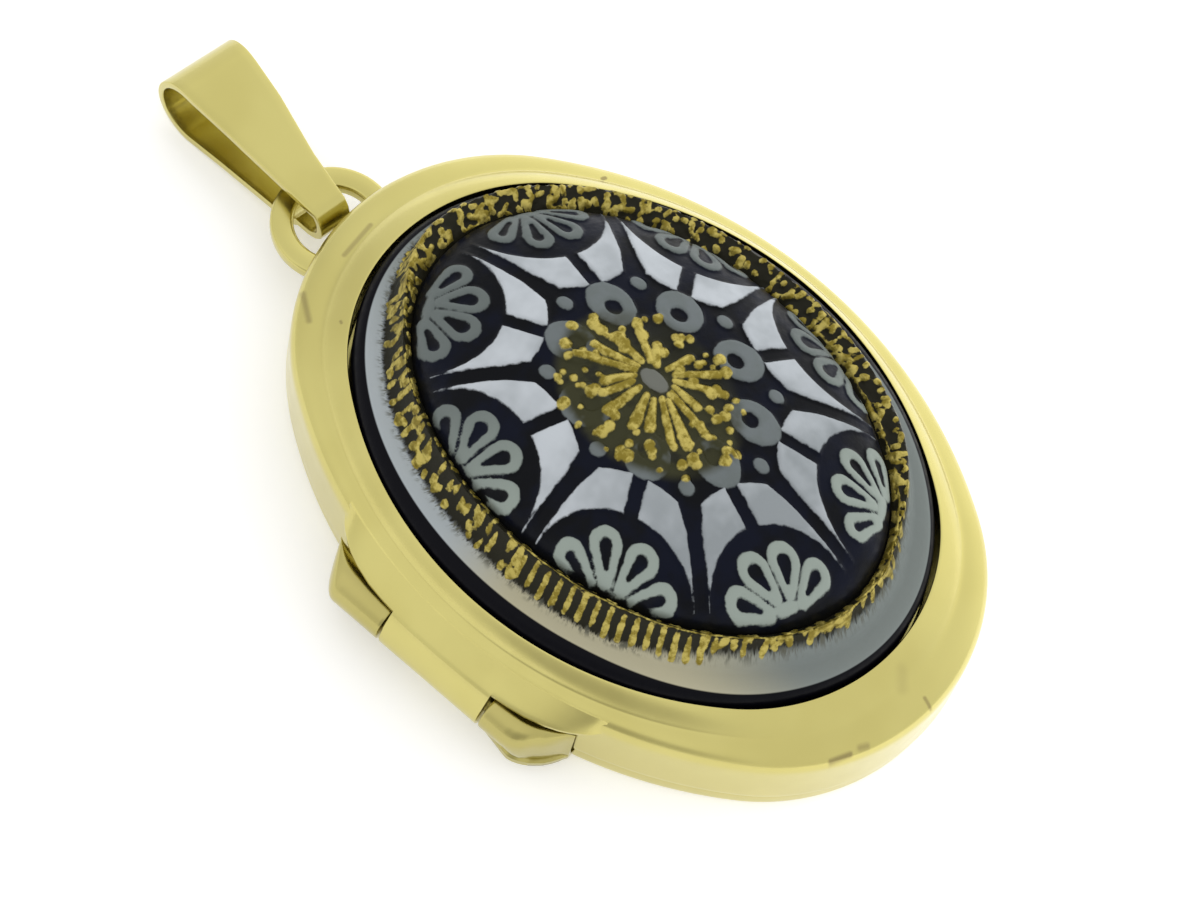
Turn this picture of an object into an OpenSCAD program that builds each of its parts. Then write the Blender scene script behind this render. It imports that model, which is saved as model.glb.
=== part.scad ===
/* [Case outline] */
// Half width of the case, from its centre to the hinge side
case_a = 10.44; // [9.8:0.02:11]
// Half height of the case, from its centre to the ring
case_b = 14.47; // [13.8:0.01:15]
// Radius of the outline's two end arcs
case_end_r = 8.5; // [8.2:0.1:8.7]
// Half width of the opening in the front cover
lip_a = 9.24; // [8.8:0.02:9.4]
// Half height of the opening in the front cover
lip_b = 12; // [11.6:0.05:12.4]
// Radius of the opening's two end arcs
lip_end_r = 7.7; // [7.4:0.1:8]

/* [Case heights] */
// Height of the parting plane between the two covers
part_z = 1.2; // [1.1:0.05:1.3]
// Height of the lip that holds the glass
lip_z = 5; // [4.8:0.05:5.2]
// Gap between the closed covers
part_gap = 0.1; // [0.08:0.01:0.15]
// Thickness of the back cover's floor
back_floor = 0.5; // [0.4:0.05:0.6]
// How much smaller the back cover is than the front cover
back_inset = 0.1; // [0.08:0.01:0.15]
// Width of the front cover's wall at the parting plane
wall = 1.1; // [1:0.05:1.2]
// Height of the snap rim above the back cover
snap_h = 0.6; // [0.4:0.05:0.7]

/* [Hinge] */
// Distance of the hinge axis from the case centre
hinge_x = 10.75; // [10.7:0.01:10.8]
// Height of the hinge axis
hinge_z = 2.2; // [2.15:0.05:2.25]
// Outer radius of the knuckles
knuckle_r = 0.9; // [0.85:0.01:0.92]
// Half length of the middle knuckle
knuckle_mid = 2.35; // [2:0.05:2.6]
// Half length of the hinge along its outer edge
hinge_half = 4.6; // [4.3:0.1:4.8]
// Half length of the hinge where it meets the case
hinge_root = 5.9; // [5.7:0.05:6]
// Gap between neighbouring knuckles
knuckle_gap = 0.12; // [0.1:0.01:0.15]
// Radius of the hinge pin
pin_r = 0.35; // [0.3:0.01:0.4]

/* [Ring and bail] */
// Distance of the ring's centre from the case centre
ring_y = 15.04; // [14.9:0.02:15.2]
// Height of the ring's middle plane
ring_z = 1.9; // [1.8:0.05:2]
// Outer radius of the ring
ring_r = 2.45; // [2.4:0.05:2.5]
// Radial width of the ring's band
ring_w = 0.9; // [0.8:0.05:0.9]
// Thickness of the ring
ring_t = 0.6; // [0.5:0.05:0.65]
// Turn of the bail along the ring, to the clasp side
bail_turn = 9; // [0:1:12]
// Rise of the bail above the level, where its roll rests on the table
bail_rise = 1.3; // [1:0.1:3]
// Thickness of the bail's strip
strip_t = 0.3; // [0.25:0.05:0.35]
// Radius of the roll at the bail's top
roll_r = 1.57; // [1.4:0.01:1.6]

/* [Glass] */
// Half width of the glass at its foot
glass_a = 9.12; // [9:0.02:9.14]
// Half height of the glass at its foot
glass_b = 11.88; // [11.8:0.02:11.9]
// Height of the glass dome's apex
apex_z = 9.8; // [9.4:0.1:10.2]
// Height of the raised cells
cell_h = 0.22; // [0.15:0.01:0.3]
// Number of petals in the rosette
petals = 8; // [6:1:10]
// Number of strands in the twisted border
strands = 56; // [28:28:56]

/* [Hidden] */
$fn = 64;

gold = [0.78, 0.74, 0.43];
black_glass = [0.16, 0.17, 0.22];

// Clearances
pin_fit_case = 0.02;
pin_fit_lid = 0.05;
snap_gap = 0.15;
swing_gap = 0.16;
glass_gap = 0.1;

// Heights
back_top = part_z - part_gap;
edge_round = 0.6;
lid_floor_z0 = 2.5;
lid_floor_z1 = 2.9;
glass_z0 = lid_floor_z1 + glass_gap;

// Number of steps round the covers and round the glass
case_steps = 72;
glass_steps = 112;

function mix(p, q, t) = p * (1 - t) + q * t;

// Side-arc radius of a four-arc oval with half axes a and b and end arcs r
function side_r(a, b, r) = (a * a + b * b - 2 * b * r) / (2 * (a - r));

// Direction in which the side arc meets the end arc
function joint_dir(a, b, r) = atan2(b - r, side_r(a, b, r) - a);

// Point of a four-arc oval whose outward normal has the direction t
function oval_pt(a, b, r, t) =
    abs(sin(t)) > sin(joint_dir(a, b, r))
        ? [r * cos(t), sign(sin(t)) * (b - r) + r * sin(t)]
        : [side_r(a, b, r) * cos(t) - sign(cos(t)) * (side_r(a, b, r) - a), side_r(a, b, r) * sin(t)];

// Ring of points at a height, a distance inside the case outline
function case_ring(inset, z) =
    [for (i = [0 : case_steps - 1])
        let (p = oval_pt(case_a - inset, case_b - inset, case_end_r - inset, (i + 0.5) * 360 / case_steps))
        [p[0], p[1], z]];

// Flat outline a distance inside the case, with its corners between those of the rings
function case_outline(inset) =
    [for (i = [0 : case_steps - 1])
        oval_pt(case_a - inset, case_b - inset, case_end_r - inset, i * 360 / case_steps)];

// Closed skin through rings of points, capped at its first and last ring
module skin(rings) {
    n = len(rings[0]);
    m = len(rings);
    polyhedron(
        points = [for (ring = rings) each ring],
        faces = concat(
            [[for (i = [0 : n - 1]) i]],
            [for (j = [0 : m - 2], i = [0 : n - 1])
                [j * n + i, (j + 1) * n + i, (j + 1) * n + (i + 1) % n]],
            [for (j = [0 : m - 2], i = [0 : n - 1])
                [j * n + i, (j + 1) * n + (i + 1) % n, j * n + (i + 1) % n]],
            [[for (i = [n - 1 : -1 : 0]) (m - 1) * n + i]]
        )
    );
}

// Cylinder along the hinge axis between two places y0 and y1
module hinge_rod(r, y0, y1) {
    translate([-hinge_x, y1, hinge_z])
        rotate([90, 0, 0])
            cylinder(r = r, h = y1 - y0);
}

// Section of the hinge, seen along its axis, drawn out between two places y0 and y1
module hinge_bar(section, y0, y1) {
    translate([0, y1, 0])
        rotate([90, 0, 0])
            linear_extrude(height = y1 - y0)
                polygon(section);
}

// Back cover: a shallow oval pan with a rounded edge, snap rim, outer knuckles and ring

snap_inset = wall + snap_gap;
snap_t = 0.5;
pan_wall = 1.6;
edge_steps = 4;

module back_pan() {
    skin(concat(
        [for (i = [0 : edge_steps]) let (t = 90 * i / edge_steps)
            case_ring(back_inset + edge_round * (1 - sin(t)), edge_round * (1 - cos(t)))],
        [
            case_ring(back_inset, back_top),
            case_ring(pan_wall, back_top),
            case_ring(pan_wall, back_floor)
        ]
    ));
}

// The snap rim stops short of the hinge, where the front cover turns inward, and of the ring
snap_from_x = -7;
snap_ring_half = 3.1;

module snap_rim() {
    translate([0, 0, back_floor - 0.1])
        linear_extrude(height = back_top + snap_h - back_floor + 0.1)
            difference() {
                polygon(case_outline(snap_inset));
                polygon(case_outline(snap_inset + snap_t + 0.1));
                translate([snap_from_x - case_a, -case_b])
                    square([case_a, 2 * case_b]);
                translate([-snap_ring_half, case_b - 4])
                    square([2 * snap_ring_half, 4]);
            }
}

// Foot under a knuckle, which reaches in below the parting plane
foot_z = 0.75;
foot_x0 = -hinge_x - 0.35;
foot_x1 = -case_a - 0.02;
foot_x2 = -9;
foot_top = back_top - 0.04;
lower_short = 0.45;
foot_section = [
    [foot_x0, foot_z],
    [foot_x2, foot_z],
    [foot_x2, foot_top],
    [foot_x1, foot_top],
    [foot_x1, hinge_z],
    [foot_x0, hinge_z]
];

// Plan of one outer knuckle, whose far end tapers back to the case
knuckle_from = knuckle_mid + knuckle_gap;
function knuckle_plan(extra) = [
    [-hinge_x - 2, knuckle_from],
    [-8, knuckle_from],
    [-8, hinge_root + extra + 1.2],
    [-hinge_x + 1.05, hinge_root + extra],
    [-hinge_x - 0.25, hinge_half + extra + 0.65],
    [-hinge_x - 0.68, hinge_half + extra + 0.35],
    [-hinge_x - 0.84, hinge_half + extra],
    [-hinge_x - 2, hinge_half + extra - 0.9]
];

// Outer knuckle, with the extra length of its far end
module outer_knuckle(extra) {
    intersection() {
        union() {
            hinge_rod(knuckle_r, knuckle_from, hinge_root + 1);
            hinge_bar(foot_section, knuckle_from, hinge_root + 1);
        }
        linear_extrude(height = lip_z)
            polygon(knuckle_plan(extra));
    }
}

module ring() {
    translate([0, ring_y, ring_z - ring_t / 2])
        difference() {
            cylinder(r = ring_r, h = ring_t);
            translate([0, 0, -1])
                cylinder(r = ring_r - ring_w, h = ring_t + 2);
        }
}

// Solder foot that joins the ring to the pan inside the front cover's notch
solder_w = 2.8;
solder_y0 = 12.75;
solder_y1 = 14.1;

module ring_foot() {
    translate([-solder_w / 2, solder_y0, back_floor - 0.2])
        cube([solder_w, solder_y1 - solder_y0, ring_z - back_floor + 0.2]);
}

pin_half = 3.7;
pin_end_gap = 0.1;

module back_cover() {
    color(gold)
        difference() {
            union() {
                back_pan();
                snap_rim();
                outer_knuckle(0);
                mirror([0, 1, 0]) outer_knuckle(-lower_short);
                ring();
                ring_foot();
            }
            hinge_rod(pin_r + pin_fit_case, -pin_half - pin_end_gap, pin_half + pin_end_gap);
        }
}

// Hinge pin

module hinge_pin() {
    color(gold)
        hinge_rod(pin_r, -pin_half, pin_half);
}

// Front cover: a lofted rim, a floor under the glass, a ledge over the hinge and the middle knuckle

// Rows of [place across the rim, height], from 0 at the outline to 1 at the lip
rim_rows = [
    [0.06, part_z],
    [0, part_z + 0.25],
    [0, lip_z - 1.45],
    [0.03, lip_z - 1.18],
    [0.1, lip_z - 0.96],
    [0.22, lip_z - 0.83],
    [0.38, lip_z - 0.8],
    [0.43, lip_z - 0.7],
    [0.7, lip_z - 0.34],
    [0.92, lip_z - 0.06],
    [0.98, lip_z]
];

function lip_ring(z) =
    [for (i = [0 : case_steps - 1])
        let (p = oval_pt(lip_a, lip_b, lip_end_r, (i + 0.5) * 360 / case_steps))
        [p[0], p[1], z]];
function rim_ring(row) =
    [for (i = [0 : case_steps - 1]) mix(case_ring(0, row[1])[i], lip_ring(row[1])[i], row[0])];

module lid_shell() {
    skin(concat(
        [case_ring(wall, lid_floor_z0), case_ring(wall, part_z)],
        [for (row = rim_rows) rim_ring(row)],
        [lip_ring(lip_z - 0.06), lip_ring(lid_floor_z1)]
    ));
}

// The ledge bows out over all three knuckles, and the middle one hangs from it
ledge_z0 = 3.28;
ledge_z1 = 3.55;
ledge_rows = [[5.98, -9.58], [5.2, -10.3], [4.5, -10.52], [3.7, -10.7], [3, -10.83], [2.4, -10.92], [1.2, -11]];

module ledge() {
    translate([0, 0, ledge_z0])
        linear_extrude(height = ledge_z1 - ledge_z0)
            polygon(concat(
                [for (row = ledge_rows) [row[1], row[0]]],
                [for (i = [len(ledge_rows) - 1 : -1 : 0]) [ledge_rows[i][1], -ledge_rows[i][0]]],
                [[-9.4, -ledge_rows[0][0]], [-9.4, ledge_rows[0][0]]]
            ));
}

mid_x = -9.9;
mid_section = [
    [mid_x, hinge_z],
    [mid_x, ledge_z1 - 0.05],
    [-11, ledge_z1 - 0.05],
    [-hinge_x - knuckle_r * 0.94, hinge_z + knuckle_r * 0.34],
    [-hinge_x, hinge_z]
];

module mid_knuckle() {
    hinge_rod(knuckle_r, -knuckle_mid, knuckle_mid);
    hinge_bar(mid_section, -knuckle_mid, knuckle_mid);
}

notch_r = ring_r + swing_gap;
notch_top = ring_z + ring_t / 2 + swing_gap;

module front_cover() {
    color(gold)
        difference() {
            union() {
                difference() {
                    lid_shell();
                    for (side = [0, 1])
                        mirror([0, side, 0])
                            hinge_rod(knuckle_r + swing_gap, knuckle_mid, hinge_root + swing_gap);
                }
                ledge();
                mid_knuckle();
            }
            hinge_rod(pin_r + pin_fit_lid, -pin_half - pin_end_gap, pin_half + pin_end_gap);
            translate([0, ring_y, 0])
                cylinder(r = notch_r, h = notch_top);
        }
}

// Glass cabochon: a bevelled foot, a flat margin, a fluted wall, a twisted border and a domed rosette

margin_z = 5.36;
margin_a = 8.63;
margin_b = 11.53;
flute_a = 8.15;
flute_b = 11.05;
border_a = 7.4;
border_b = 10.4;
border_z = 6.8;
dome_a = 6.95;
dome_b = 9.9;
dome_z0 = 6.55;
dome_power = 0.55;

function wrap(t, period) = t - period * round(t / period);
function step_up(t, t0, t1) = let (s = max(0, min(1, (t - t0) / (t1 - t0)))) s * s * (3 - 2 * s);
function pad(t, t0, t1, soft) = step_up(t, t0 - soft, t0 + soft) * (1 - step_up(t, t1 - soft, t1 + soft));

// Fan at the foot of each petal, a half disc round a centre on the dome's edge
fan_r = 2.4;
function fan_centre(k) = let (t = 180 / petals + k * 360 / petals) [dome_a * cos(t), dome_b * sin(t)];
function fan_near(p) = min([for (k = [0 : petals - 1]) norm(p - fan_centre(k))]);

// Raised parts of the rosette at a fraction f of the dome's radius and an oval angle t
function relief(f, t) =
    let (
        u = wrap(t - 180 / petals, 360 / petals),
        v = wrap(t, 360 / petals),
        p = [dome_a * f * cos(t), dome_b * f * sin(t)],
        arch = 0.5 + 0.13 * step_up(abs(u), 8, 20),
        reach = dome_a * f * sin(abs(u)),
        between = dome_a * f * sin(abs(v)),
        cell = pad(f, arch, 0.9, 0.03) * step_up(reach, 0.1, 0.3) * step_up(between, 0.15, 0.35)
            * step_up(fan_near(p), fan_r - 0.1, fan_r + 0.2),
        fan = 0.5 * (1 - step_up(fan_near(p), fan_r - 0.6, fan_r - 0.4)) * (0.5 + 0.5 * cos(8 * petals * t)),
        loops = 0.8 * pad(f, 0.31, 0.41, 0.03) * (0.5 - 0.5 * cos(petals * t)),
        stamens = pad(f, 0.08, 0.29, 0.03) * (0.5 + 0.5 * cos(2 * petals * t)),
        boss = 1 - step_up(f, 0.04, 0.08)
    )
    cell_h * (cell + fan + loops + stamens + boss);

function dome_height(f) = dome_z0 + (apex_z - dome_z0) * pow(max(0, 1 - f * f), dome_power);

function glass_ring(a, b, z, wave) =
    [for (i = [0 : glass_steps - 1]) let (t = i * 360 / glass_steps)
        [a * cos(t), b * sin(t), z + wave * cos(strands * t)]];
function dome_ring(f) =
    [for (i = [0 : glass_steps - 1]) let (t = i * 360 / glass_steps)
        [dome_a * f * cos(t), dome_b * f * sin(t), dome_height(f) + relief(f, t)]];

dome_rings = 27;
dome_first = 0.99;
dome_last = 0.02;

module glass_cabochon() {
    color(black_glass)
        skin(concat(
            [
                glass_ring(glass_a, glass_b, glass_z0, 0),
                glass_ring(glass_a, glass_b, lip_z - 0.2, 0),
                glass_ring(margin_a, margin_b, margin_z, 0),
                glass_ring(flute_a, flute_b, margin_z + 0.04, 0),
                glass_ring(mix(flute_a, border_a, 0.3), mix(flute_b, border_b, 0.3), border_z - 0.7, 0.08),
                glass_ring(mix(flute_a, border_a, 0.6), mix(flute_b, border_b, 0.6), border_z - 0.2, 0.1),
                glass_ring(border_a, border_b, border_z, 0.12),
                glass_ring(mix(border_a, dome_a, 0.7), mix(border_b, dome_b, 0.7), border_z - 0.2, 0.08)
            ],
            [for (i = [0 : dome_rings - 1]) dome_ring(mix(dome_first, dome_last, i / (dome_rings - 1)))]
        ));
}

// Bail: a tapered strip folded round the ring's band and rolled at its top

bail_reach = ring_r - ring_w / 2;
bail_pivot = [bail_reach * sin(bail_turn), ring_y + bail_reach * cos(bail_turn), ring_z];
eye_r = 0.85;
crease_y = -1.7;
front_z = eye_r + strip_t;
roll_y = 5.21;
roll_z = front_z - roll_r;
roll_top = 90;
roll_foot = -98;
roll_steps = 16;
eye_steps = 5;
eye_from = -98;
eye_to = -150;

// Side view of a face of the folded strip, a distance inside its outer face
function fold(inset) = concat(
    [[crease_y + 0.3 * inset, front_z - inset]],
    [for (i = [0 : roll_steps]) let (t = mix(roll_top, roll_foot, i / roll_steps))
        [roll_y + (roll_r - inset) * cos(t), roll_z + (roll_r - inset) * sin(t)]],
    [for (i = [0 : eye_steps]) let (t = mix(eye_from, eye_to, i / eye_steps))
        [(front_z - inset) * cos(t), (front_z - inset) * sin(t)]],
    [[-1.78 + 0.85 * inset, -0.2], [-2.05 + inset, 0.5]]
);

// Rows of [place along the bail, strip to the hinge side, strip to the clasp side]
strip_rows = [
    [-3, 0.78, 0.64],
    [crease_y, 0.78, 0.64],
    [0.5, 1.02, 0.88],
    [3.2, 1.3, 1.4],
    [5, 1.52, 1.6],
    [8, 1.7, 1.78]
];

module bail() {
    color(gold)
        translate(bail_pivot)
            rotate([0, 0, -bail_turn])
                rotate([bail_rise, 0, 0])
                    intersection() {
                        rotate([90, 0, 90])
                            linear_extrude(height = 6, center = true)
                                difference() {
                                    polygon(fold(0));
                                    polygon(fold(strip_t));
                                }
                        translate([0, 0, -4])
                            linear_extrude(height = 8)
                                polygon(concat(
                                    [for (row = strip_rows) [row[2], row[0]]],
                                    [for (i = [len(strip_rows) - 1 : -1 : 0])
                                        [-strip_rows[i][1], strip_rows[i][0]]]
                                ));
                    }
}

back_cover();
hinge_pin();
front_cover();
glass_cabochon();
bail();
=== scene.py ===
import bpy
import math
from functools import partial
import numpy as np
from mathutils import Matrix, Quaternion, Vector


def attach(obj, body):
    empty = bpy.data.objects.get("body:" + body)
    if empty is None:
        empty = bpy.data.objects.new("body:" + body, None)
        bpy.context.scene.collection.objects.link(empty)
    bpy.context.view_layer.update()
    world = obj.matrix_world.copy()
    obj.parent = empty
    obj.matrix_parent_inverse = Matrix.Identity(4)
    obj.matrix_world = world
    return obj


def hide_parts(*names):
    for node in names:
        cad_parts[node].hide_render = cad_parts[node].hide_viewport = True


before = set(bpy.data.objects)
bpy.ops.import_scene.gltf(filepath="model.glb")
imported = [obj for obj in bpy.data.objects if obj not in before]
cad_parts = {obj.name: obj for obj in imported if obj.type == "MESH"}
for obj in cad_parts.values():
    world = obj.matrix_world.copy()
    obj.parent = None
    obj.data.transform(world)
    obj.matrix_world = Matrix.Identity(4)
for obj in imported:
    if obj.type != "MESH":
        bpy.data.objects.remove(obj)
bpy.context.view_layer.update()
mm = 0.001
print("frame loaded")


# small helpers used by every piece

def setMode(mode):
    bpy.ops.object.mode_set(mode=mode)


def selectMesh(action):
    bpy.ops.mesh.select_all(action=action)


def deselectAll():
    if bpy.context.mode != "OBJECT":
        setMode("OBJECT")
    bpy.ops.object.select_all(action="DESELECT")


def pick(obj):
    deselectAll()
    obj.select_set(True)
    bpy.context.view_layer.objects.active = obj


def applyModifier(obj, kind, **values):
    pick(obj)
    mod = obj.modifiers.new(kind.lower(), kind)
    for key, value in values.items():
        setattr(mod, key, value)
    bpy.ops.object.modifier_apply(modifier=mod.name)


def finishPiece(obj, body, material, angle=40, nodes=()):
    # place goes into the mesh, then shading, material and body
    pick(obj)
    bpy.ops.object.transform_apply(location=True, rotation=True, scale=True)
    bpy.ops.object.shade_smooth_by_angle(angle=math.radians(angle))
    obj.data.materials.clear()
    obj.data.materials.append(material)
    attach(obj, body)
    for node in nodes:
        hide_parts(node)


def closeUp(obj, distance=1e-6):
    # merges the seam and turns every face outward
    pick(obj)
    setMode("EDIT")
    selectMesh("SELECT")
    bpy.ops.mesh.remove_doubles(threshold=distance)
    bpy.ops.mesh.normals_make_consistent(inside=False)
    selectMesh("DESELECT")
    setMode("OBJECT")


def fillRims(obj):
    # closes each open edge loop with one flat face
    pick(obj)
    setMode("EDIT")
    bpy.ops.mesh.select_mode(type="EDGE")
    selectMesh("DESELECT")
    bpy.ops.mesh.select_non_manifold(
        extend=False, use_wire=False, use_multi_face=False, use_non_contiguous=False, use_verts=False)
    bpy.ops.mesh.fill_holes(sides=0)
    selectMesh("SELECT")
    bpy.ops.mesh.normals_make_consistent(inside=False)
    bpy.ops.mesh.select_mode(type="VERT")
    selectMesh("DESELECT")
    setMode("OBJECT")


def named(name):
    obj = bpy.context.object
    obj.name = name
    return obj


def layGrid(name, places):
    # a grid primitive laid on places in metres: (row, column, xyz)
    deselectAll()
    rows, columns = places.shape[:2]
    bpy.ops.mesh.primitive_grid_add(x_subdivisions=columns - 1, y_subdivisions=rows - 1, size=1)
    obj = named(name)
    obj.data.vertices.foreach_set("co", places.reshape(-1))
    obj.data.update()
    return obj


def withSeam(values):
    # the first column comes again at the end
    return np.concatenate([values, values[:, :1]], axis=1)


def wrapGrid(name, rows):
    return layGrid(name, withSeam(np.asarray(rows, float)))


def prism(name, points, low, high):
    # a circle primitive with as many corners as the plan, filled and extruded upward
    deselectAll()
    bpy.ops.mesh.primitive_circle_add(vertices=len(points), radius=1, fill_type="NGON")
    obj = named(name)
    for vertex, (x, y) in zip(obj.data.vertices, points):
        vertex.co = Vector((x, y, low)) * mm
    setMode("EDIT")
    selectMesh("SELECT")
    bpy.ops.mesh.extrude_region_move(TRANSFORM_OT_translate={"value": (0, 0, (high - low) * mm)})
    selectMesh("SELECT")
    bpy.ops.mesh.normals_make_consistent(inside=False)
    setMode("OBJECT")
    return obj


def rod(name, radius, low, high, turned=True, place=(0, 0)):
    # a cylinder along the hinge, or upright through a place in plan
    deselectAll()
    middle = (low + high) / 2
    spot = (place[0], middle, place[1]) if turned else (place[0], place[1], middle)
    tilt = (math.pi / 2 if turned else 0, 0, 0)
    bpy.ops.mesh.primitive_cylinder_add(
        vertices=96, radius=radius * mm, depth=(high - low) * mm, location=Vector(spot) * mm, rotation=tilt)
    obj = named(name)
    bpy.ops.object.transform_apply(location=True, rotation=True, scale=True)
    return obj


def arcPoints(centre, radius, start, sweep, parts):
    # places on an arc given in degrees, both ends with them
    turns = [math.radians(start + sweep * k / parts) for k in range(parts + 1)]
    return [(centre[0] + radius * math.cos(t), centre[1] + radius * math.sin(t)) for t in turns]


def cutWith(obj, cutter):
    applyModifier(obj, "BOOLEAN", operation="DIFFERENCE", object=cutter, solver="EXACT")
    bpy.data.objects.remove(cutter)


# the case outline: a four-arc oval that all the rings follow

outline = {
    "caseHalf": (10.44, 14.47, 8.5),  # half width, half length and end radius, mm
    "lipHalf": (9.24, 12.0, 7.7),
    "steps": 96,
}


def sideRadius(a, b, r):
    # the long side's radius, so that it runs into the end arcs without a corner
    return (a * a + b * b - 2 * b * r) / (2 * (a - r))


def ovalPoints(half, inset, steps):
    a, b, r = (v - inset for v in half)
    side = sideRadius(a, b, r)
    corner = math.atan2(b - r, side - a)
    points = []
    for i in range(steps):
        t = i * 2 * math.pi / steps
        c, s = math.cos(t), math.sin(t)
        if abs(s) > math.sin(corner):
            points.append((r * c, math.copysign(b - r, s) + r * s))
        else:
            points.append((side * c - math.copysign(side - a, c), side * s))
    return np.array(points)


def caseRing(inset, z, steps=None):
    steps = steps or outline["steps"]
    p = ovalPoints(outline["caseHalf"], inset, steps)
    return np.column_stack([p, np.full(steps, z)]) * mm


def rimRing(part, z):
    # part runs from 0 at the case outline to 1 at the lip
    steps = outline["steps"]
    p = ovalPoints(outline["caseHalf"], 0, steps) * (1 - part)
    p = p + ovalPoints(outline["lipHalf"], 0, steps) * part
    return np.column_stack([p, np.full(steps, z)]) * mm


def caseSide(y):
    # how far the hinge side of the outline has turned inward at a height y in plan
    side = sideRadius(*outline["caseHalf"])
    return side - math.sqrt(side * side - y * y)


# materials

def newMaterial(name):
    material = bpy.data.materials.new(name)
    material.use_nodes = True
    tree = material.node_tree
    shader = tree.nodes["Principled BSDF"]
    return material, tree, shader


def setInputs(node, values):
    for name, value in values.items():
        node.inputs[name].default_value = value


def mathNode(tree, operation, first, second=None):
    node = tree.nodes.new("ShaderNodeMath")
    node.operation = operation
    for index, value in enumerate((first, second)):
        if value is None:
            continue
        if isinstance(value, (int, float)):
            node.inputs[index].default_value = value
        else:
            tree.links.new(value, node.inputs[index])
    return node.outputs[0]


def product(tree, first, *others):
    for other in others:
        first = mathNode(tree, "MULTIPLY", first, other)
    return first


def addUp(tree, first, second):
    return mathNode(tree, "ADD", first, second)


def takeOff(tree, first, second):
    return mathNode(tree, "SUBTRACT", first, second)


def objectPlace(tree):
    # X, Y and Z of a place on the piece, in metres
    split = tree.nodes.new("ShaderNodeSeparateXYZ")
    tree.links.new(tree.nodes.new("ShaderNodeTexCoord").outputs["Object"], split.inputs["Vector"])
    return [split.outputs[name] for name in "XYZ"]


def rampNode(tree, value, low, high, toLow=0.0, toHigh=1.0):
    node = tree.nodes.new("ShaderNodeMapRange")
    node.interpolation_type = "SMOOTHSTEP"
    setInputs(node, {"From Min": low, "From Max": high, "To Min": toLow, "To Max": toHigh})
    tree.links.new(value, node.inputs["Value"])
    return node.outputs["Result"]


def mixColour(tree, factor, first, second):
    node = tree.nodes.new("ShaderNodeMix")
    node.data_type = "RGBA"
    sockets = [s for s in node.inputs if s.enabled]
    for socket, value in zip(sockets, (factor, first, second)):
        if isinstance(value, tuple):
            socket.default_value = (*value, 1.0)
        elif isinstance(value, (int, float)):
            socket.default_value = value
        else:
            tree.links.new(value, socket)
    return [s for s in node.outputs if s.enabled][0]


def noiseNode(tree, scale, detail=3.0, roughness=0.5, vector=None):
    if vector is None:
        vector = tree.nodes.new("ShaderNodeTexCoord").outputs["Object"]
    noise = tree.nodes.new("ShaderNodeTexNoise")
    setInputs(noise, {"Scale": scale, "Detail": detail, "Roughness": roughness})
    tree.links.new(vector, noise.inputs["Vector"])
    return noise.outputs["Fac"]


def bumpNode(tree, shader, height, strength, distance):
    bump = tree.nodes.new("ShaderNodeBump")
    setInputs(bump, {"Strength": strength, "Distance": distance})
    tree.links.new(height, bump.inputs["Height"])
    tree.links.new(bump.outputs["Normal"], shader.inputs["Normal"])


goldLook = {
    "tone": (0.60, 0.535, 0.185),
    "deepTone": (0.565, 0.5, 0.165),
    "markTone": (0.24, 0.19, 0.075),
    "polish": (0.2, 0.27),  # roughness, least and most
    "coat": (0.35, 0.12),  # weight and roughness
    "cloudScale": 260.0,
    "cloudSpread": (0.35, 0.65),
    "smearScale": 806.0,
    "smearSpread": (0.3, 0.7),
    "grainScale": 9000.0,
    "grainStrength": 0.05,
    "grainDepth": 0.0000012,
}
innerLook = {**goldLook, "polish": (0.3, 0.42)}
# a darker copy of the gold for the outer knuckles, which paints the shade that falls on them
shadedGoldLook = {**goldLook, "tone": (0.49, 0.43, 0.145), "deepTone": (0.45, 0.395, 0.125)}


def markMask(tree, place, start, end, radius, soft):
    # 1 on a short stroke between two places in plan, fading over its soft edge
    px = takeOff(tree, place[0], start[0] * mm)
    py = takeOff(tree, place[1], start[1] * mm)
    dx, dy = (end[0] - start[0]) * mm, (end[1] - start[1]) * mm
    run = addUp(tree, product(tree, px, dx), product(tree, py, dy))
    share = mathNode(tree, "DIVIDE", run, dx * dx + dy * dy)
    share = mathNode(tree, "MINIMUM", mathNode(tree, "MAXIMUM", share, 0.0), 1.0)
    offX = takeOff(tree, px, product(tree, share, dx))
    offY = takeOff(tree, py, product(tree, share, dy))
    away = mathNode(tree, "SQRT", addUp(tree, product(tree, offX, offX), product(tree, offY, offY)))
    return rampNode(tree, away, (radius + soft) * mm, (radius - soft) * mm)


def makeGold(name, look, marks=(), marksAbove=(0, 1)):
    material, tree, shader = newMaterial(name)
    cloud = rampNode(tree, noiseNode(tree, look["cloudScale"], 2.0), *look["cloudSpread"])
    tone = mixColour(tree, cloud, look["deepTone"], look["tone"])
    if marks:
        place = objectPlace(tree)
        upper = rampNode(tree, place[2], marksAbove[0] * mm, marksAbove[1] * mm)
        for start, end, radius, soft, strength in marks:
            mask = product(tree, markMask(tree, place, start, end, radius, soft), strength, upper)
            tone = mixColour(tree, mask, tone, look["markTone"])
    tree.links.new(tone, shader.inputs["Base Color"])
    smear = noiseNode(tree, look["smearScale"], 4.0, 0.6)
    smear = rampNode(tree, smear, *look["smearSpread"], *look["polish"])
    tree.links.new(smear, shader.inputs["Roughness"])
    coat, coatRough = look["coat"]
    setInputs(shader, {"Metallic": 1.0, "Coat Weight": coat, "Coat Roughness": coatRough})
    grain = noiseNode(tree, look["grainScale"], 2.0)
    bumpNode(tree, shader, grain, look["grainStrength"], look["grainDepth"])
    return material


polishedGold = makeGold("polishedGold", goldLook)
innerGold = makeGold("innerGold", innerLook)
shadedGold = makeGold("shadedGold", shadedGoldLook)
print("gold ready")


# front cover rim, smooth through all its rows, then cut clear of the hinge and the ring

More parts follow.
